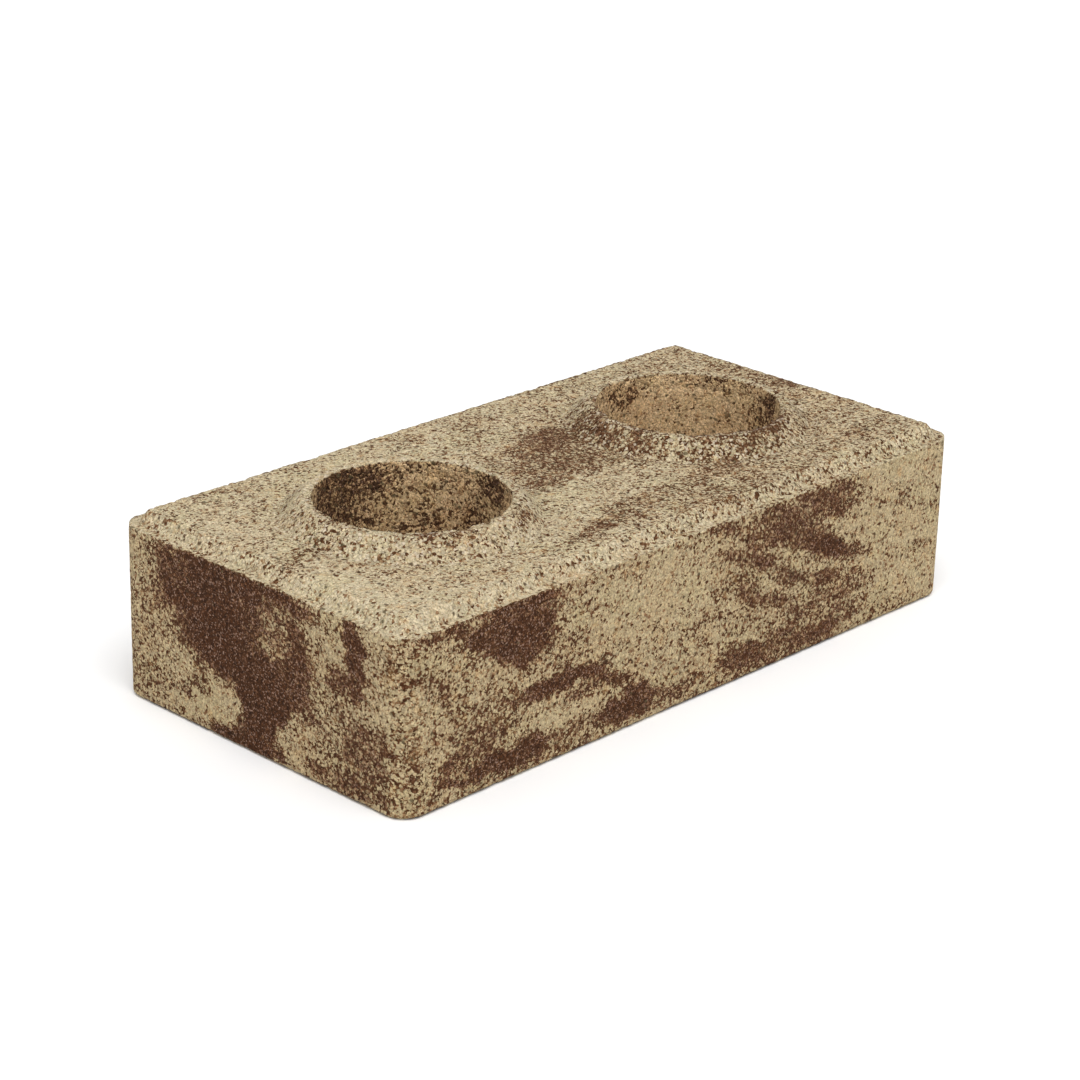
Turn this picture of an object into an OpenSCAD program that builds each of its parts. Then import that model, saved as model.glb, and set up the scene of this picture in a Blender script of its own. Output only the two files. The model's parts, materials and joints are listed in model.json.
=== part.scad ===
// Interlocking clay brick, pressed from one mass of mottled clay.
// Two round holes run through it from top to bed. Around each hole a cone-sided
// collar stands on the top face, and a matching recess is sunk in the bed face,
// so the collars of one course sit in the recesses of the next.
// Origin: middle of the bed face. X runs along the brick, Z points up.

/* [Body] */
// Length of the brick
brick_l = 250; // [200:1:320]
// Width of the brick
brick_w = 125; // [104:1:160]
// Height of the straight side faces, from the bed up to the lip
side_h = 56; // [30:0.5:120]
// Radius of the four upright corners
corner_r = 8; // [7:0.5:15]
// Chamfer around the bed face
bed_chamfer = 1; // [0.5:0.5:3]

/* [Top edge] */
// Width of the flat lip that the press leaves around the top
lip_w = 3; // [1:0.5:3]
// Width of the sloping band inside the lip
bevel_w = 3; // [1:0.5:3.5]
// Height of the sloping band, from the lip to the top face
bevel_h = 4; // [2:0.5:8]

/* [Holes] */
// Diameter of the two through holes
hole_d = 59.5; // [40:0.5:70]
// Joint left between the bricks of a course
joint_w = 0; // [0:0.5:12]

/* [Collars] */
// Height of a collar above the top face
collar_h = 6; // [2:0.5:12]
// Width of the flat ring on top of a collar
collar_ring_w = 3.75; // [2:0.25:6]
// Width of the sloping flank of a collar, seen from above
collar_flank_w = 6.5; // [1:0.5:8]

/* [Recesses] */
// Gap all round between a collar and the recess it sits in
recess_side_gap = 1; // [0.5:0.25:3]
// Gap between the top of a collar and the roof of the recess
recess_top_gap = 0.5; // [0.25:0.25:2]

/* [Hidden] */
$fn = 96;
clay = [0.69, 0.61, 0.47];
// Cuts run past the faces that they open by this much
past = 1;
top_z = side_h + bevel_h;
// Half a course length, so that a brick laid half over two others meets one hole of each
hole_pitch = (brick_l + joint_w) / 2;
hole_r = hole_d / 2;
collar_top_r = hole_r + collar_ring_w;
collar_base_r = collar_top_r + collar_flank_w;
recess_h = collar_h + recess_top_gap;
// Straight runs of the outline between its rounded corners
straight_l = brick_l - 2 * corner_r;
straight_w = brick_w - 2 * corner_r;

// Edge of the brick in section, from the bed up; reach is how far out it lies at its widest
function edge_points(reach) = [
    [reach - bed_chamfer, 0],
    [reach, bed_chamfer],
    [reach, side_h],
    [reach - lip_w, side_h],
    [reach - lip_w - bevel_w, top_z]
];

// The left edge of a section is the right one mirrored, in reverse order
function mirrored(points) = [for (i = [len(points) - 1 : -1 : 0]) [-points[i].x, points[i].y]];

// Whole section of the brick, width across by height, stretched to the given run
module slab(width, run) {
    right = edge_points(width / 2);
    rotate([90, 0, 0])
        linear_extrude(height = run, center = true)
            polygon(concat(right, mirrored(right)));
}

// One rounded upright corner, a quarter turn of the edge
module corner() {
    rotate_extrude(angle = 90)
        polygon(concat([[0, 0]], edge_points(corner_r), [[0, top_z]]));
}

module body() {
    slab(brick_l, straight_w);
    rotate([0, 0, 90]) slab(brick_w, straight_l);
    for (side_x = [0, 1], side_y = [0, 1])
        mirror([side_x, 0, 0])
            mirror([0, side_y, 0])
                translate([straight_l / 2, straight_w / 2, 0]) corner();
}

module at_holes() {
    for (side = [-1, 1]) translate([side * hole_pitch / 2, 0, 0]) children();
}

module collar() {
    translate([0, 0, top_z]) cylinder(h = collar_h, r1 = collar_base_r, r2 = collar_top_r);
}

// Cone of the collar, widened by the side gap; its small end is the roof of the recess
module recess() {
    cylinder(h = recess_h, r1 = collar_base_r + recess_side_gap, r2 = collar_top_r + recess_side_gap);
}

module hole() {
    translate([0, 0, -past]) cylinder(h = top_z + collar_h + 2 * past, r = hole_r);
}

module brick() {
    color(clay)
        difference() {
            union() {
                body();
                at_holes() collar();
            }
            at_holes() recess();
            at_holes() hole();
        }
}

brick();
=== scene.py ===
import json
import math

import bmesh
import bpy
import numpy as np
from mathutils import Matrix, Vector, noise
from mathutils.geometry import delaunay_2d_cdt


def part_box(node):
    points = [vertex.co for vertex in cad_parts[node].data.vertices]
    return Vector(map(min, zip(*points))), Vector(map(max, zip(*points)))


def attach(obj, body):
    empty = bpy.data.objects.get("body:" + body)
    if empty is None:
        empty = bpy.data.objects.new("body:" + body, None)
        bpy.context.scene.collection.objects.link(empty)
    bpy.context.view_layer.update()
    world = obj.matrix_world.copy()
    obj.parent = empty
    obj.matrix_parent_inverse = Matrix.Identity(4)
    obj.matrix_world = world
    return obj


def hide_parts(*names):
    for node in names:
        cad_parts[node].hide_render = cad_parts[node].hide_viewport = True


# Looks of the interlocking clay brick: a granular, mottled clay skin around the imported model.
# The skin is one closed mesh on the same section and plan as the solid. Its grains, pits and
# crumbled edges are cut inwards from there, so it never leaves the solid's box. Lengths are in
# millimetres until the mesh is finished, and MM turns them into metres.

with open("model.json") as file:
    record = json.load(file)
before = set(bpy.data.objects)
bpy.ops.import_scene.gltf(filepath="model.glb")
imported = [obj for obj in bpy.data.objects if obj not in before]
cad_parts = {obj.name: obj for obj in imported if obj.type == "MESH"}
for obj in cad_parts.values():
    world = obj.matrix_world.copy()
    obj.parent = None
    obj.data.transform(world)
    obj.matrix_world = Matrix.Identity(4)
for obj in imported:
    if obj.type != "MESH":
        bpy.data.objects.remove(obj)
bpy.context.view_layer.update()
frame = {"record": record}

MM = 0.001

# ---------------------------------------------------------------- sizes, from the frame

low, high = (np.array(corner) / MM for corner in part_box("brick"))
mounts = {m["name"]: m for m in frame["record"]["mounts"]}
holes = [m for m in mounts.values() if m["kind"] == "bore"]

BRICK_L, BRICK_W, COLLAR_Z = high - low
TOP_Z = mounts["top_face"]["pos_m"][2] / MM
HOLE_R = holes[0]["dims"]["r_mm"]
HOLE_X = [m["pos_m"][0] / MM for m in holes]
RECESS_Z = COLLAR_Z - holes[0]["dims"]["length_mm"]

# The section's remaining sizes, as the solid has them
CORNER_R = 8
BED_CHAMFER = 1
LIP_W = 3
BEVEL_W = 3
BEVEL_H = 4
COLLAR_RING_W = 3.75
COLLAR_FLANK_W = 6.5
RECESS_SIDE_GAP = 1
SIDE_Z = TOP_Z - BEVEL_H
TOP_INSET = LIP_W + BEVEL_W
RING_R = HOLE_R + COLLAR_RING_W
FLANK_R = RING_R + COLLAR_FLANK_W
RECESS_ROOF_R = RING_R + RECESS_SIDE_GAP
RECESS_R = FLANK_R + RECESS_SIDE_GAP

# ---------------------------------------------------------------- mesh of the skin

STEP = 1.0            # spacing of points on the sides
TOP_STEP = 1.08       # spacing of points on the top face
BED_STEP = 2.0        # spacing of points on the bed face
ROW_STEP = 0.866      # spacing of the rows of points on a flat face, as a share of its step
STRAY = 0.18          # how far those points stray from their rows, as a share of the step
CLEAR = 0.6           # how far they keep from the borders, as a share of the step
HOLE_SEGMENTS = 208   # points round a hole
FINE_WALL_H = 24      # how far down from the collar a hole's wall has closely spaced points
EDGE_REACH = 1.3      # how far from a sharp edge its crumbling reaches
NEAR = 0.01           # slack in telling on which surface a point lies
INSIDE_BORDER = 1     # asks the triangulation for the triangles inside its border only
MERGE_DISTANCE = 1e-4

rng = np.random.default_rng(7)


def outline():
    """Points of the brick's plan, anticlockwise, with the outward direction at each."""
    half_l, half_w = BRICK_L / 2 - CORNER_R, BRICK_W / 2 - CORNER_R
    run_l, run_w = round(2 * half_l / STEP), round(2 * half_w / STEP)
    turn = round(math.pi / 2 * CORNER_R / STEP)
    centres = [(half_l, -half_w), (half_l, half_w), (-half_l, half_w), (-half_l, -half_w)]
    points, outward = [], []
    for i, centre in enumerate(centres):
        start = (i - 1) * math.pi / 2
        for k in range(turn):
            angle = start + math.pi / 2 * k / turn
            direction = np.array([math.cos(angle), math.sin(angle)])
            points.append(np.array(centre) + CORNER_R * direction)
            outward.append(direction)
        direction = np.array([math.cos(start + math.pi / 2), math.sin(start + math.pi / 2)])
        here = np.array(centre) + CORNER_R * direction
        there = np.array(centres[(i + 1) % 4]) + CORNER_R * direction
        run = run_w if i % 2 == 0 else run_l
        for k in range(run):
            points.append(here + (there - here) * k / run)
            outward.append(direction)
    return np.array(points), np.array(outward)


def path(*corners):
    """Points along a section that is given as (a, b, steps from the corner before)."""
    points = [corners[0][:2]]
    for a, b, steps in corners[1:]:
        a0, b0 = points[-1]
        points += [(a0 + (a - a0) * k / steps, b0 + (b - b0) * k / steps) for k in range(1, steps + 1)]
    return points


class Skin:
    """Collects points and faces."""

    def __init__(self):
        self.points = []
        self.faces = []

    def ring(self, ring_points):
        """Adds a ring of points and returns their numbers."""
        first = len(self.points)
        self.points += [tuple(p) for p in ring_points]
        return list(range(first, len(self.points)))

    def join(self, ring_a, ring_b):
        """Adds the band of faces between two rings of equally many points."""
        count = len(ring_a)
        for k in range(count):
            n = (k + 1) % count
            self.faces.append((ring_a[k], ring_a[n], ring_b[n], ring_b[k]))

    def sweep(self, rings):
        """Joins one ring after another, and returns the first and the last of them."""
        made = [self.ring(r) for r in rings]
        for ring_a, ring_b in zip(made, made[1:]):
            self.join(ring_a, ring_b)
        return made[0], made[-1]

    def fill(self, z, border, inner_rings, hole_r, inset, step):
        """Triangulates the flat face between the border ring and the rings round the holes."""
        rings = [border, *inner_rings]
        ids = [i for r in rings for i in r]
        flat = [Vector(self.points[i][:2]) for i in ids]
        edges, start = [], 0
        for r in rings:
            edges += [(start + k, start + (k + 1) % len(r)) for k in range(len(r))]
            start += len(r)
        for row in range(int(BRICK_W / (step * ROW_STEP)) + 1):
            for column in range(int(BRICK_L / step) + 1):
                x = -BRICK_L / 2 + (column + 0.5 * (row % 2)) * step
                y = -BRICK_W / 2 + row * step * ROW_STEP
                x, y = np.array([x, y]) + rng.uniform(-STRAY, STRAY, 2) * step
                if plan_inset(x, y) < inset + CLEAR * step:
                    continue
                if hole_distance(x, y) < hole_r + CLEAR * step:
                    continue
                ids.append(len(self.points))
                self.points.append((x, y, z))
                flat.append(Vector((x, y)))
        _, _, triangles, sources, _, _ = delaunay_2d_cdt(flat, edges, [], INSIDE_BORDER, MERGE_DISTANCE)
        for triangle in triangles:
            corners = [ids[sources[i][0]] for i in triangle]
            middle = np.mean([self.points[i][:2] for i in corners], axis=0)
            if hole_distance(*middle) > hole_r - NEAR:
                self.faces.append(tuple(corners))


def plan_inset(x, y):
    """How far inside the brick's outline a place lies."""
    dx = abs(x) - (BRICK_L / 2 - CORNER_R)
    dy = abs(y) - (BRICK_W / 2 - CORNER_R)
    outside = np.hypot(np.maximum(dx, 0), np.maximum(dy, 0))
    return CORNER_R - (outside + np.minimum(np.maximum(dx, dy), 0))


def hole_distance(x, y):
    """Distance to the nearer hole's axis."""
    return np.minimum(*(np.hypot(x - hx, y) for hx in HOLE_X))


def outer_rings():
    """Rings of points round the outside, from the bed face up to the top face."""
    plan, outward = outline()
    section = path(
        (BED_CHAMFER, 0), (0, BED_CHAMFER, 1), (0, SIDE_Z, round((SIDE_Z - BED_CHAMFER) / STEP)),
        (LIP_W, SIDE_Z, 3), (TOP_INSET, TOP_Z, 5))
    return [np.column_stack([plan - inset * outward, np.full(len(plan), z)]) for inset, z in section]


def hole_rings(hole_x):
    """Rings of points from a collar's foot over its top and down the hole to the bed face."""
    angles = np.arange(HOLE_SEGMENTS) * 2 * math.pi / HOLE_SEGMENTS
    circle = np.column_stack([np.cos(angles), np.sin(angles)])
    section = path(
        (FLANK_R, TOP_Z), (RING_R, COLLAR_Z, 8), (HOLE_R, COLLAR_Z, 4),
        (HOLE_R, COLLAR_Z - FINE_WALL_H, 22), (HOLE_R, RECESS_Z, 16),
        (RECESS_ROOF_R, RECESS_Z, 4), (RECESS_R, 0, 5))
    return [np.column_stack([r * circle + [hole_x, 0], np.full(HOLE_SEGMENTS, z)]) for r, z in section]


def brick_skin():
    skin = Skin()
    bed_border, top_border = skin.sweep(outer_rings())
    feet, mouths = zip(*(skin.sweep(hole_rings(hole_x)) for hole_x in HOLE_X))
    skin.fill(TOP_Z, top_border, feet, FLANK_R, TOP_INSET, TOP_STEP)
    skin.fill(0, bed_border, mouths, RECESS_R, BED_CHAMFER, BED_STEP)

    mesh = bpy.data.meshes.new("brick_skin")
    mesh.from_pydata([Vector(p) for p in skin.points], [], skin.faces)
    work = bmesh.new()
    work.from_mesh(mesh)
    bmesh.ops.recalc_face_normals(work, faces=work.faces)
    work.to_mesh(mesh)
    work.free()
    mesh.update()
    return mesh


# ---------------------------------------------------------------- relief

# Sizes of the clay's grains
FINE_GRAIN = 0.42
MIDDLE_GRAIN = 0.85
LARGE_GRAIN = 1.7


def noise_at(points, size, shift=0.0):
    """Smooth noise from about -1 to 1, whose bumps are about size across. Another shift gives
    another pattern."""
    return np.array([noise.noise(Vector(p)) for p in points / size + shift])


def smooth(zero_at, one_at, value):
    """Rises from 0 to 1 without a kink, while the value goes from zero_at to one_at."""
    t = np.clip((value - zero_at) / (one_at - zero_at), 0, 1)
    return t * t * (3 - 2 * t)


def near_edge(distance):
    """1 on a sharp edge, falling to 0 over EDGE_REACH."""
    return np.exp(-(distance / EDGE_REACH) ** 2)


def edge_nearness(inset, radius, z):
    """1 on any of the brick's sharp edges, falling to 0 over EDGE_REACH."""
    distances = [
        np.hypot(inset, z - SIDE_Z),
        1.2 * np.hypot(inset - TOP_INSET, z - TOP_Z),
        np.hypot(inset - BED_CHAMFER / 2, z - BED_CHAMFER / 2),
        np.hypot(radius - HOLE_R, z - COLLAR_Z),
        np.hypot(radius - RING_R, z - COLLAR_Z),
        np.hypot(radius - HOLE_R, z - RECESS_Z),
        np.hypot(radius - RECESS_R, z),
    ]
    return near_edge(np.min(distances, axis=0))


def coarseness(inset, radius, z):
    """0 where the mould dragged the clay smooth, 1 where it is crumbly."""
    side = (z > 0.5) & (z < SIDE_Z - NEAR) & (inset < 0.6)
    wall = (radius < HOLE_R + 0.3) & (z < COLLAR_Z - 0.5)
    band = (z > SIDE_Z - 0.1) & (inset < TOP_INSET + 1)
    collar = (z > TOP_Z - 0.1) & (radius < FLANK_R + 2.5)
    value = np.where(side, 0.20 + 0.35 * smooth(5, 0, SIDE_Z - z), 0.42)
    value = np.where(wall, 0.15, value)
    value = np.where(band, 0.70, value)
    return np.where(collar, 1.0, value)


def grain_gaps(points, size):
    """0 on top of each grain and 1 in the gaps between grains that are about size across."""
    nearest = [noise.voronoi(Vector(p))[0][0] for p in points / size]
    return np.clip(np.array(nearest) / 0.75, 0, 1)


def vertex_values(mesh, name):
    """A value with three parts, such as the place, of each of the mesh's points."""
    values = np.empty(len(mesh.vertices) * 3)
    mesh.vertices.foreach_get(name, values)
    return values.reshape(-1, 3)


def carve(mesh, points, normals, coarse, edge, rim):
    """Cuts grains, pits and crumbled edges into the skin. Each term is a depth in millimetres."""
    swell = 0.08 * (noise_at(points, 30) + 1)
    grains = (0.03 + 0.26 * coarse) * grain_gaps(points, LARGE_GRAIN)
    dust = (0.02 + 0.12 * coarse) * rng.random(len(points))
    lumps = 0.25 * np.maximum(coarse - 0.7, 0) * np.maximum(noise_at(points, 3.8, 9.3), 0)
    pits = (0.16 + 0.34 * coarse) * smooth(0.46, 0.66, noise_at(points, 2.4, 31.7))
    chips = 0.28 * smooth(0.30, 0.68, noise_at(points, 6, 3.1))
    crumbs = 0.24 * smooth(0, 0.6, noise_at(points, 1.9, 5.5))
    rim_chips = 0.15 + 0.9 * smooth(0.0, 0.5, noise_at(points, 4.2, 12.9))
    depth = swell + grains + dust + lumps + pits + edge * (0.08 + chips + crumbs) + rim * rim_chips
    mesh.vertices.foreach_set("co", (points - normals * depth[:, None]).ravel())
    mesh.update()


# ---------------------------------------------------------------- mottling

# Dabs of clay, laid on in order: (along, up, half length, half height, tilt in degrees, how brown).
# Along is Y on the end face, X on the front and top faces, and degrees round a hole's wall.
# Up is Z on the upright faces and Y on the top face.
END_DABS = [
    (54, 47, 8, 11, 0, 0.14), (50, 26, 8, 17, 0, 0.36), (46, 36, 8, 4, -15, 0.56),
    (50, 8, 9, 6, 0, 0.46), (-51, 42, 6, 15, 0, 0.24), (-32, 49, 6, 8, 0, 0.15),
    (-26, 32, 4, 12, 0, 0.24), (-34, 21, 11, 9, 0, 0.44), (10, 52, 36, 5, 0, 0.90),
    (27, 44, 17, 9, 0, 0.94), (8, 34, 26, 12, -10, 0.97), (-12, 32, 12, 17, 0, 0.86),
    (-2, 18, 11, 14, 0, 0.97), (5, 3, 16, 3.5, 0, 0.95), (-9, 42, 7, 10, 0, 0.60),
    (35, 47, 7, 6, 0, 0.80), (2, 39, 3.5, 8, 0, 0.82), (-42, 46, 4.5, 13, 0, 0.88),
    (-36, 36, 7, 3.5, -15, 0.72), (-48, 17, 12, 9, 0, 0.68), (-40, 5, 18, 4, 0, 0.66),
    (-60, 47, 5, 6, 0, 0.46), (-62, 20, 5, 10, 0, 0.44), (-17, 12, 7, 6, 0, 0.26),
    (16, 14, 7, 5, 0, 0.06), (27, 7, 13, 3, 0, 0.12), (34, 18, 6, 4, 0, 0.20),
    (30, 13, 10, 2, -25, 0.56),
]
FRONT_DABS = [
    (38, 5, 52, 4.5, 0, 0.56), (-60, 5, 40, 4, 0, 0.50), (-22, 40, 26, 16, 0, 0.13),
    (-20, 24, 16, 6, 0, 0.18), (100, 30, 22, 24, 0, 0.12), (-8, 13, 22, 3, 0, 0.18),
    (-85, 54, 23, 4, 0, 0.84), (-82, 48, 19, 6, 0, 0.86), (-78, 42, 12, 6, 0, 0.90),
    (-75, 37, 5, 4, 0, 0.80), (-108, 54, 12, 2.5, 0, 0.62), (-112, 38, 16, 3.5, -55, 0.58),
    (-122, 20, 5, 10, 0, 0.50), (-119, 46, 4, 6, 0, 0.45), (-90, 22, 14, 9, 0, 0.48),
    (-61, 34, 8, 4, 30, 0.46), (-66, 25, 14, 2.6, 4, 0.88), (-50, 24, 9, 2.8, -12, 0.84),
    (-38, 19, 9, 2, -22, 0.70), (-52, 19, 9, 2.5, 0, 0.64), (-86, 8, 22, 4, 0, 0.86),
    (-98, 14, 12, 5, 20, 0.66), (-60, 13, 13, 2.5, 0, 0.20), (-30, 8, 13, 5, 0, 0.86),
    (-12, 6, 11, 3, 0, 0.66), (-55, 5, 9, 3, 0, 0.46), (4, 4, 10, 3, 0, 0.44),
    (21, 8, 13, 4, -8, 0.74), (52, 7, 20, 4, -6, 0.76), (90, 3, 24, 2, 0, 0.40),
    (12, 52, 9, 2.6, -20, 0.62), (44, 53, 24, 3, 0, 0.62), (31, 47, 12, 6, 0, 0.66),
    (45, 47, 12, 7, 0, 0.75), (61, 48, 17, 7, 0, 0.67), (50, 40, 12, 4, -20, 0.77),
    (64, 33, 15, 3.2, -18, 0.88), (77, 29, 6, 2, -20, 0.66), (66, 41, 12, 1.2, -18, 0.14),
    (17, 42, 11, 2.6, -25, 0.60), (13, 35, 8, 3, 0, 0.46), (28, 37, 13, 3.2, -25, 0.70),
    (25, 28, 12, 3.4, -30, 0.66), (33, 30, 4, 4, 0, 0.14), (45, 28, 14, 3, -20, 0.58),
    (40, 20, 11, 2.5, -28, 0.62), (58, 24, 14, 4, -10, 0.66), (72, 18, 16, 5, -6, 0.54),
    (56, 14, 26, 5, -8, 0.56), (30, 18, 12, 3, -20, 0.34), (97, 40, 23, 1.4, -19, 0.34),
    (112, 34, 10, 1.4, -15, 0.30), (110, 20, 16, 1.8, -4, 0.30), (98, 14, 18, 1.6, 0, 0.10),
]
TOP_DABS = [
    (-114, -33, 10, 22, 0, 0.04), (-108, -55, 14, 7, 0, 0.10), (-100, 32, 20, 24, 0, 0.23),
    (85, -46, 30, 12, 0, 0.34), (20, -50, 45, 10, 0, 0.46), (8, 7, 34, 17, 5, 0.62),
    (17, 19, 16, 9, 0, 0.72), (-10, -6, 18, 8, 0, 0.58), (44, 20, 6, 8, 0, 0.84),
    (33, 9, 8, 12, 0, 0.72), (26, -6, 26, 12, 0, 0.56), (45, -27, 16, 8, -10, 0.50),
    (5, 42, 7, 10, 0, 0.44), (-18, 47, 5, 5, 0, 0.44), (-93, 52, 11, 3, 0, 0.38),
    (-90, 6, 8, 7, 0, 0.52), (-108, -3, 17, 6, 10, 0.42), (-81, -26, 7, 4, 35, 0.62),
    (-70, -18, 6, 3, 0, 0.45), (65, -30, 15, 6, 12, 0.78), (38, -37, 26, 5, 8, 0.56),
    (4, -38, 16, 4, 8, 0.54), (-26, -46, 26, 5, 12, 0.56), (114, 5, 6, 14, 0, 0.60),
    (112, 30, 8, 5, 0, 0.44), (75, -50, 8, 3, 0, 0.46), (-60, -50, 20, 6, 0, 0.22),
    (-46, -31, 6, 4, 0, 0.56), (-33, -47, 9, 3.5, 0, 0.60), (-12, -39, 9, 3, 10, 0.58),
    (-72, -31, 5, 3, 0, 0.52),
]
# For the left and for the right hole
HOLE_DABS = [
    [
        (-90, 40, 40, 22, 0, 0.44), (160, 40, 34, 30, 0, 0.62), (35, 52, 22, 8, 0, 0.26),
        (-10, 62, 14, 6, 0, 0.66), (0, 54, 10, 5, 0, 0.44), (92, 58, 32, 10, 0, 0.70),
        (75, 50, 12, 6, 0, 0.52), (10, 50, 6, 4, 0, 0.52), (40, 44, 24, 4, 0, 0.40),
    ],
    [
        # In the right hole, the dab at -24 degrees near the top of the wall and the milder one at -12
        # degrees below it are painted shadow of the rim
        (180, 40, 40, 25, 0, 0.30), (45, 50, 40, 14, 0, 0.10), (-24, 61, 9, 7, 0, 0.66),
        (-12, 54, 10, 6, 0, 0.38), (86, 60, 16, 4, 0, 0.50), (22, 65, 16, 1.5, 0, 0.50),
    ],
]
# How brown the clay is between the dabs
END_BROWN = 0.28
FRONT_BROWN = 0.28
TOP_BROWN = 0.20
HOLE_BROWN = [0.26, 0.18]

# Tilt of the streaks that the mould dragged over each face, in degrees
END_DRAG = 35
FRONT_DRAG = -20
TOP_DRAG = 8


def painted(along, up, warp, dabs, base, drag=0.0, drag_tilt=0.0, solid=0.7):
    """How brown the clay is where dabs lie over a base. Dabs fade out from the solid share of
    their reach, with ragged borders that feather along the drag's tilt."""
    along = along + 1.9 * warp[0] + 1.4 * warp[1] + drag * math.cos(math.radians(drag_tilt))
    up = up + 1.5 * warp[2] + 1.2 * warp[3] + drag * math.sin(math.radians(drag_tilt))
    value = base + np.zeros(len(along))
    for centre_along, centre_up, half_length, half_height, tilt, brown in dabs:
        cosine, sine = math.cos(math.radians(tilt)), math.sin(math.radians(tilt))
        du, dv = along - centre_along, up - centre_up
        reach = np.hypot((du * cosine + dv * sine) / half_length, (dv * cosine - du * sine) / half_height)
        value += (brown - value) * smooth(1.35, solid, reach)
    return value


def streaks(along, up, points, drag):
    """Long soft streaks, for the faces that have no dabs."""
    stretched = np.column_stack([along / 2.4 - up * 0.4, up, points.sum(1) * 0.05])
    value = noise_at(stretched, 24, 4.2) + 0.6 * noise_at(stretched, 8, 8.8) + 0.3 * drag
    return 0.22 + 0.68 * smooth(-0.05, 0.6, value)


def drag_streaks(points, normals):
    """Fine streaks slanting over each face, where the mould dragged the clay."""
    x, y, z = points.T
    facing_up = np.abs(normals[:, 2]) > 0.7
    on_end = np.abs(normals[:, 0]) > np.abs(normals[:, 1])
    along = np.where(on_end & ~facing_up, y, x)
    up = np.where(facing_up, y, z)
    tilt = np.radians(np.where(facing_up, TOP_DRAG, np.where(on_end, END_DRAG, FRONT_DRAG)))
    with_drag = along * np.cos(tilt) + up * np.sin(tilt)
    across = up * np.cos(tilt) - along * np.sin(tilt)
    return noise_at(np.column_stack([with_drag / 5, across, points.sum(1) / 20]), 2.1, 7.7)


def mottling(points, normals):
    """How brown the clay is at each point, from 0, cream, to 1, brown."""
    x, y, z = points.T
    warp = [noise_at(points, size, shift) for size, shift in ((9, 1.5), (3.6, 2.5), (9, 3.5), (3.6, 4.5))]
    radius = hole_distance(x, y)
    upright = plan_inset(x, y) < NEAR
    drag = drag_streaks(points, normals)

    # The front is creamier towards its right end, and the top browner
    front_brown = FRONT_BROWN - 0.20 * smooth(66, 88, x)
    top_brown = TOP_BROWN + 0.12 * smooth(-40, 60, x)
    end = painted(y, z, warp, END_DABS, END_BROWN, 4 * drag, END_DRAG)
    front = painted(x, z, warp, FRONT_DABS, front_brown, 5 * drag, FRONT_DRAG)
    top = painted(x, y, warp, TOP_DABS, top_brown, 4 * drag, TOP_DRAG, 0.3)
    lengthwise = np.where(np.abs(normals[:, 0]) > 0.7, y, x)
    hidden = streaks(lengthwise, np.where(np.abs(normals[:, 2]) > 0.7, y, z), points, drag)

    # Neighbouring faces run into each other round the corners
    side = hidden + (front - hidden) * smooth(0.35, 0.75, -normals[:, 1])
    side = side + (end - side) * smooth(0.35, 0.75, -normals[:, 0])
    value = np.where(z > SIDE_Z - NEAR, top, hidden)
    value = np.where(upright & (z < SIDE_Z + NEAR), side, value)
    for hole_x, dabs, brown in zip(HOLE_X, HOLE_DABS, HOLE_BROWN):
        angle = np.degrees(np.arctan2(y, x - hole_x))
        inside = (np.hypot(x - hole_x, y) < HOLE_R + NEAR) & (z < COLLAR_Z - 0.1)
        value = np.where(inside, painted(angle, z, warp, dabs, brown), value)

    # The far side of each collar's ring is creamier, as a painted highlight, and the sloping band inside
    # the lip is creamier
    back_ring_highlight = smooth(2.5, 1, np.abs(radius - RING_R + 1)) * (z > TOP_Z + 1) * (y > 0)
    band = (z > SIDE_Z - NEAR) & (z < TOP_Z - 0.1) & (radius > RING_R)
    value = value - 0.14 * back_ring_highlight - 0.05 * band
    patches = 0.09 * noise_at(points, 5.5, 6.6) + 0.17 * noise_at(points, 2.4, 2.2)
    patches += np.where(upright & (z < SIDE_Z), 0.17, 0.10) * drag
    return np.clip(value + patches * (1 - value) * (0.8 + 2.4 * value), 0.02, 0.99)


# ---------------------------------------------------------------- material


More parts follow.
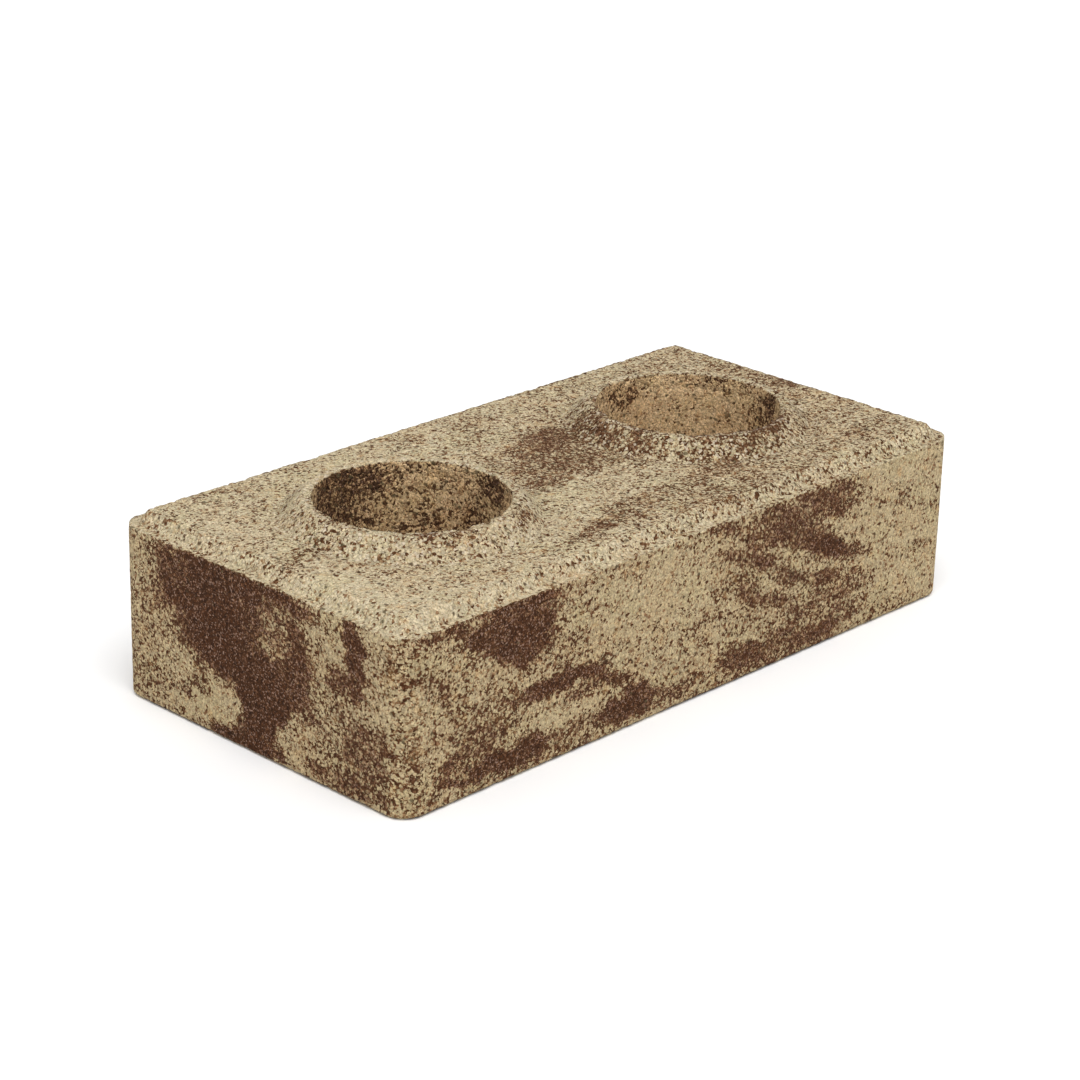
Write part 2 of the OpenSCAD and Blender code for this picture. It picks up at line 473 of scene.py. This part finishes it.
class Nodes:
    """Short ways to add shader nodes to a material."""

    def __init__(self, material):
        material.use_nodes = True
        self.tree = material.node_tree
        self.tree.nodes.clear()

    def add(self, kind, inputs=(), **settings):
        node = self.tree.nodes.new(kind)
        for key, value in settings.items():
            setattr(node, key, value)
        for key, value in dict(inputs).items():
            if isinstance(value, bpy.types.NodeSocket):
                self.tree.links.new(value, node.inputs[key])
            else:
                node.inputs[key].default_value = value
        return node

    def math(self, operation, a, b=0.0):
        return self.add("ShaderNodeMath", {0: a, 1: b}, operation=operation).outputs[0]

    def vector(self, operation, a, b):
        return self.add("ShaderNodeVectorMath", {0: a, 1: b}, operation=operation).outputs[0]

    def scale(self, a, factor):
        return self.add("ShaderNodeVectorMath", {0: a, 3: factor}, operation="SCALE").outputs[0]

    def attribute(self, name):
        return self.add("ShaderNodeAttribute", attribute_name=name).outputs["Fac"]

    def remap(self, value, from_low, from_high, to_low=0.0, to_high=1.0):
        inputs = {0: value, 1: from_low, 2: from_high, 3: to_low, 4: to_high}
        return self.add("ShaderNodeMapRange", inputs).outputs[0]

    def choose(self, factor, a, b):
        return self.add("ShaderNodeMix", {0: factor, 2: a, 3: b}).outputs[0]

    def blend(self, factor, a, b, kind="MIX"):
        settings = {"data_type": "RGBA", "blend_type": kind}
        return self.add("ShaderNodeMix", {0: factor, 6: a, 7: b}, **settings).outputs[2]

    def grey(self, value):
        return self.add("ShaderNodeCombineColor", {0: value, 1: value, 2: value}).outputs[0]

    def ramp(self, value, stops):
        node = self.add("ShaderNodeValToRGB", {0: value})
        elements = node.color_ramp.elements
        while len(elements) < len(stops):
            elements.new(0.5)
        for element, (position, colour) in zip(elements, stops):
            element.position = position
            element.color = colour
        return node.outputs[0]

    def noise(self, where, size, detail=2.0, roughness=0.5):
        inputs = {"Vector": where, "Scale": 1 / size, "Detail": detail, "Roughness": roughness}
        return self.add("ShaderNodeTexNoise", inputs)

    def grains(self, where, size):
        """Cells about size across: their distance socket, and three random draws for each cell."""
        cells = self.add("ShaderNodeTexVoronoi", {"Vector": where, "Scale": 1 / size})
        draws = self.add("ShaderNodeSeparateColor", {0: cells.outputs["Color"]}).outputs
        return cells.outputs["Distance"], draws


def screen(red, green, blue):
    """Screen colour, 0 to 255, as the opaque linear colour that shaders take."""
    return (*(((c / 255 + 0.055) / 1.055) ** 2.4 for c in (red, green, blue)), 1)


# Colours of the clay from the lightest cream to the darkest brown, at these tones
TONES = [0.00, 0.18, 0.42, 0.68, 0.96]
# The top's colours are lighter and cooler than the sides', partly from dust and partly as painted light
# from above; the sides' are darker by painted shade.
SIDES_IN_PAINTED_SHADE = [(187, 170, 138), (171, 152, 119), (142, 112, 84), (105, 72, 51), (69, 41, 22)]
TOP_DUSTY_AND_PAINTED_LIT = [(201, 188, 161), (184, 168, 137), (151, 124, 95), (115, 82, 59), (74, 46, 25)]
# The holes' walls are lighter and warmer by painted bounce light from the cream clay round them.
WALLS_IN_PAINTED_BOUNCE_LIGHT = [(214, 187, 150), (199, 169, 129), (161, 127, 95), (104, 76, 54), (62, 42, 29)]

OCHRE = screen(186, 146, 98)
ROSY = screen(160, 132, 116)
DARK_BROWN = screen(62, 42, 26)
DARK_OLIVE = screen(88, 78, 56)
WHITISH = screen(214, 199, 177)

# Multipliers for where the clay leans yellowish or pinkish, and for its single grains
LEANINGS = [(0.36, (1.0, 1.0, 0.92, 1)), (0.5, (1.0, 0.99, 0.97, 1)), (0.62, (1.0, 0.94, 0.87, 1))]
GRAIN_TINTS = [
    (0.0, (0.98, 1.0, 0.86, 1)), (0.35, (1.0, 1.0, 1.0, 1)),
    (0.65, (1.0, 0.95, 0.88, 1)), (1.0, (0.97, 0.98, 1.0, 1)),
]


class ClayNodes(Nodes):
    """The clay's shader. Each step of its colour takes the colour so far."""

    def __init__(self, material):
        super().__init__(material)
        self.place = self.scale(self.add("ShaderNodeTexCoord").outputs["Object"], 1 / MM)
        wobble = self.noise(self.place, 0.9, 1.0).outputs["Color"]
        bend = self.vector("SUBTRACT", wobble, (0.5, 0.5, 0.5))
        bent = self.vector("ADD", self.place, self.scale(bend, 0.8))
        self.fine_gap, self.fine = self.grains(bent, FINE_GRAIN)
        self.middle_gap, self.middle = self.grains(bent, MIDDLE_GRAIN)
        self.large_gap, self.large = self.grains(bent, LARGE_GRAIN)
        self.brown = self.attribute("brown")
        self.coarse = self.attribute("coarse")
        self.pale = self.attribute("pale")
        self.wall = self.attribute("wall")
        self.cream = self.math("SUBTRACT", 1.0, self.brown)

    def tone(self):
        """How dark each grain is: brown or cream by its own draw against how brown the clay is
        there. It is mostly the middle grains that draw, but the fine ones in brown clay."""
        fine_pick = self.remap(self.math("SUBTRACT", self.fine[0], self.cream), -0.20, 0.20)
        middle_pick = self.remap(self.math("SUBTRACT", self.middle[0], self.cream), -0.10, 0.10)
        by_middle = self.math(
            "MULTIPLY", self.remap(self.middle[2], 0.28, 0.53), self.remap(self.wall, 0, 1, 1, 0.85))
        by_middle = self.math("MULTIPLY", by_middle, self.remap(self.brown, 0.55, 0.85, 1, 0.4))
        pick = self.choose(by_middle, fine_pick, middle_pick)
        lightest = self.math(
            "ADD", self.remap(self.brown, 0, 1, 0.0, 0.16), self.remap(self.brown, 0.55, 0.95, 0, 0.22))
        darkest = self.remap(self.brown, 0.5, 0.9, 0.88, 0.97)
        cloud = self.remap(self.noise(self.place, 1.6, 3.0, 0.6).outputs["Fac"], 0.3, 0.7, -0.08, 0.12)
        return self.math("ADD", self.choose(pick, lightest, darkest), cloud)

    def coloured(self, tone):
        """The sides are dragged clay in painted shade, the top is dusty clay in painted light from above,
        and the holes' walls have painted bounce light.
        """
        dragged, top_dusty_and_lit, walls_bounce_lit = (
            self.ramp(tone, [(at, screen(*colour)) for at, colour in zip(TONES, colours)])
            for colours in (SIDES_IN_PAINTED_SHADE, TOP_DUSTY_AND_PAINTED_LIT, WALLS_IN_PAINTED_BOUNCE_LIGHT))
        return self.blend(self.wall, self.blend(self.pale, dragged, top_dusty_and_lit), walls_bounce_lit)

    def tinted(self, clay):
        """Ochre spots; and the clay leans pinkish here and yellowish there, as does each grain."""
        ochre = self.remap(self.noise(self.place, 4.5, 2.0).outputs["Fac"], 0.60, 0.72, 0, 0.4)
        clay = self.blend(self.math("MULTIPLY", ochre, self.cream), clay, OCHRE)
        leaning = self.ramp(self.noise(self.place, 13, 2.0).outputs["Fac"], LEANINGS)
        clay = self.blend(0.6, clay, leaning, "MULTIPLY")
        tint = self.ramp(self.fine[1], GRAIN_TINTS)
        return self.blend(self.remap(self.brown, 0.4, 0.9, 0.8, 0.4), clay, tint, "MULTIPLY")

    def shaded(self, clay):
        """Some grains are lighter than others, and the gaps between the middle ones are dim."""
        dimmest = self.remap(self.brown, 0.5, 0.9, 0.68, 0.40)
        brightest = self.remap(self.brown, 0.5, 0.9, 1.30, 1.60)
        glint = self.remap(self.fine[2], 0, 1, dimmest, brightest)
        glint = self.math("POWER", glint, self.remap(self.wall, 0, 1, 1, 1.35))
        shade = self.math("MULTIPLY", glint, self.remap(self.middle[1], 0, 1, 0.90, 1.10))
        shade = self.math("MULTIPLY", shade, self.remap(self.middle_gap, 0.45, 0.85, 1.0, 0.70))
        return self.blend(1.0, clay, self.grey(shade), "MULTIPLY")

    def speckled(self, clay):
        """Rosy grains in brown clay, dark specks, fewest on the sides, and whitish grains where
        the clay is crumbly, partly pale crumbs and partly painted highlights on them."""
        rosy = self.remap(self.fine[2], 0.82, 1, 0, 0.75)
        clay = self.blend(self.math("MULTIPLY", rosy, self.remap(self.brown, 0.45, 0.85)), clay, ROSY)
        draw = self.math("ADD", self.large[0], self.math("MULTIPLY", self.pale, 0.06))
        draw = self.math("ADD", draw, self.math("MULTIPLY", self.wall, 0.12))
        specks = self.remap(draw, 0.92, 0.95, 0, 0.85)
        specks = self.math("MULTIPLY", specks, self.remap(self.large_gap, 0.46, 0.26))
        dark = self.blend(self.remap(self.large[1], 0.4, 0.6), DARK_BROWN, DARK_OLIVE)
        clay = self.blend(specks, clay, dark)
        # Whitish grains on crumbly clay: partly pale crumbs, partly painted highlights on their tops
        pale_crumb_highlight = self.remap(self.middle[0], 0.12, 0.07, 0, 0.55)
        pale_crumb_highlight = self.math("MULTIPLY", pale_crumb_highlight, self.remap(self.coarse, 0.6, 0.9))
        pale_crumb_highlight = self.math("MULTIPLY", pale_crumb_highlight, self.math("SUBTRACT", 1.0, self.wall))
        return self.blend(pale_crumb_highlight, clay, WHITISH)

    def sunk(self, gap, depth):
        """Height of grains that stand proud of the gaps between them, which are sunk by depth."""
        return self.math("MULTIPLY", self.math("POWER", gap, 2.0), depth)

    def relief(self):
        fine = self.sunk(self.fine_gap, -0.12 * MM)
        middle = self.sunk(self.middle_gap, self.remap(self.coarse, 0, 1, -0.14 * MM, -0.36 * MM))
        large = self.sunk(self.large_gap, self.remap(self.coarse, 0.3, 1, 0, -0.55 * MM))
        powder = self.noise(self.place, 0.4, 2.0, 0.6).outputs["Fac"]
        powder = self.math("MULTIPLY", powder, 0.08 * MM)
        height = self.math("ADD", self.math("ADD", fine, middle), self.math("ADD", large, powder))
        return self.add("ShaderNodeBump", {"Strength": 1.0, "Distance": 1.0, "Height": height}).outputs[0]


def mottled_clay():
    material = bpy.data.materials.new("mottled_clay")
    n = ClayNodes(material)
    clay = n.speckled(n.shaded(n.tinted(n.coloured(n.tone()))))
    surface = n.add("ShaderNodeBsdfPrincipled", {
        "Base Color": clay, "Normal": n.relief(), "Roughness": n.remap(n.brown, 0, 1, 0.92, 0.80),
        "Specular IOR Level": 0.10})
    n.add("ShaderNodeOutputMaterial", {"Surface": surface.outputs[0]})
    return material


def store(mesh, name, values):
    """Keeps a value for each point of the mesh, under a name that the material reads."""
    mesh.attributes.new(name, "FLOAT", "POINT").data.foreach_set("value", values.astype(np.float32))


def make_brick():
    mesh = brick_skin()
    points = vertex_values(mesh, "co")
    normals = vertex_values(mesh, "normal")
    x, y, z = points.T
    inset = plan_inset(x, y)
    radius = hole_distance(x, y)
    coarse = coarseness(inset, radius, z)
    rim = near_edge(np.hypot(radius - HOLE_R, z - COLLAR_Z))
    carve(mesh, points, normals, coarse, edge_nearness(inset, radius, z), rim)
    on_wall = (radius < HOLE_R + NEAR) & (z < COLLAR_Z - 0.1)
    store(mesh, "coarse", coarse)
    # The holes' walls, whose colours carry painted bounce light
    store(mesh, "wall", on_wall * 1.0)
    # The top, whose colours carry dust and painted light from above
    store(mesh, "pale", (z > SIDE_Z - NEAR) * ~on_wall * 1.0)
    store(mesh, "brown", mottling(points, normals))
    mesh.transform(Matrix.Scale(MM, 4))
    mesh.polygons.foreach_set("use_smooth", np.ones(len(mesh.polygons), bool))
    mesh.materials.append(mottled_clay())
    skin = bpy.data.objects.new("brick_skin", mesh)
    bpy.context.scene.collection.objects.link(skin)
    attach(skin, "root")
    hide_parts("brick")


# ---------------------------------------------------------------- floor, light and camera

# Lengths are in metres from here on
FLOOR_HALF = 6.0

SKY_STRENGTH = 0.62
SUN_STRENGTH = 2.25
SUN_SPREAD = 50                     # degrees, for soft shadows
SUN_SIDE = (-0.30, -0.42, 1)        # direction towards the sun

CAMERA_AZIMUTH = -46.42             # degrees round the brick from straight in front
CAMERA_ELEVATION = 21.80
CAMERA_ROLL = 1.39
CAMERA_DISTANCE = 0.9609
CAMERA_LENS = 99.59                 # mm, on a sensor SENSOR_WIDTH wide
SENSOR_WIDTH = 36
AIM_RIGHT = -0.00365                # where the middle of the view passes the origin, across and up
AIM_UP = 0.03176


def make_floor():
    corners = [(x * FLOOR_HALF, y * FLOOR_HALF, 0) for x, y in ((-1, -1), (1, -1), (1, 1), (-1, 1))]
    mesh = bpy.data.meshes.new("floor")
    mesh.from_pydata(corners, [], [(0, 1, 2, 3)])
    material = bpy.data.materials.new("pale_floor")
    n = Nodes(material)
    surface = n.add("ShaderNodeBsdfPrincipled", {
        "Base Color": (0.93, 0.93, 0.93, 1), "Roughness": 0.9, "Specular IOR Level": 0.1})
    n.add("ShaderNodeOutputMaterial", {"Surface": surface.outputs[0]})
    mesh.materials.append(material)
    floor = bpy.data.objects.new("floor", mesh)
    bpy.context.scene.collection.objects.link(floor)


def make_light():
    world = bpy.data.worlds.new("studio")
    world.use_nodes = True
    sky = world.node_tree.nodes["Background"]
    sky.inputs["Color"].default_value = (1, 1, 1, 1)
    sky.inputs["Strength"].default_value = SKY_STRENGTH
    bpy.context.scene.world = world
    data = bpy.data.lights.new("overhead", "SUN")
    data.energy = SUN_STRENGTH
    data.angle = math.radians(SUN_SPREAD)
    light = bpy.data.objects.new("overhead", data)
    light.rotation_euler = Vector(SUN_SIDE).to_track_quat("Z", "Y").to_euler()
    bpy.context.scene.collection.objects.link(light)


def make_camera():
    azimuth, elevation, roll = (math.radians(a) for a in (CAMERA_AZIMUTH, CAMERA_ELEVATION, CAMERA_ROLL))
    level = math.cos(elevation)
    back = Vector((math.sin(azimuth) * level, -math.cos(azimuth) * level, math.sin(elevation)))
    right = Vector((math.cos(azimuth), math.sin(azimuth), 0))
    up = back.cross(right)
    rolled_right = math.cos(roll) * right + math.sin(roll) * up
    rolled_up = math.cos(roll) * up - math.sin(roll) * right
    place = AIM_RIGHT * rolled_right + AIM_UP * rolled_up + CAMERA_DISTANCE * back
    camera = bpy.data.objects.new("camera", bpy.data.cameras.new("camera"))
    camera.data.lens = CAMERA_LENS
    camera.data.sensor_width = SENSOR_WIDTH
    turn = Matrix((rolled_right, rolled_up, back)).transposed().to_4x4()
    camera.matrix_world = Matrix.Translation(place) @ turn
    bpy.context.scene.collection.objects.link(camera)
    bpy.context.scene.camera = camera


make_brick()
make_floor()
make_light()
make_camera()
bpy.context.scene.view_settings.view_transform = "Standard"
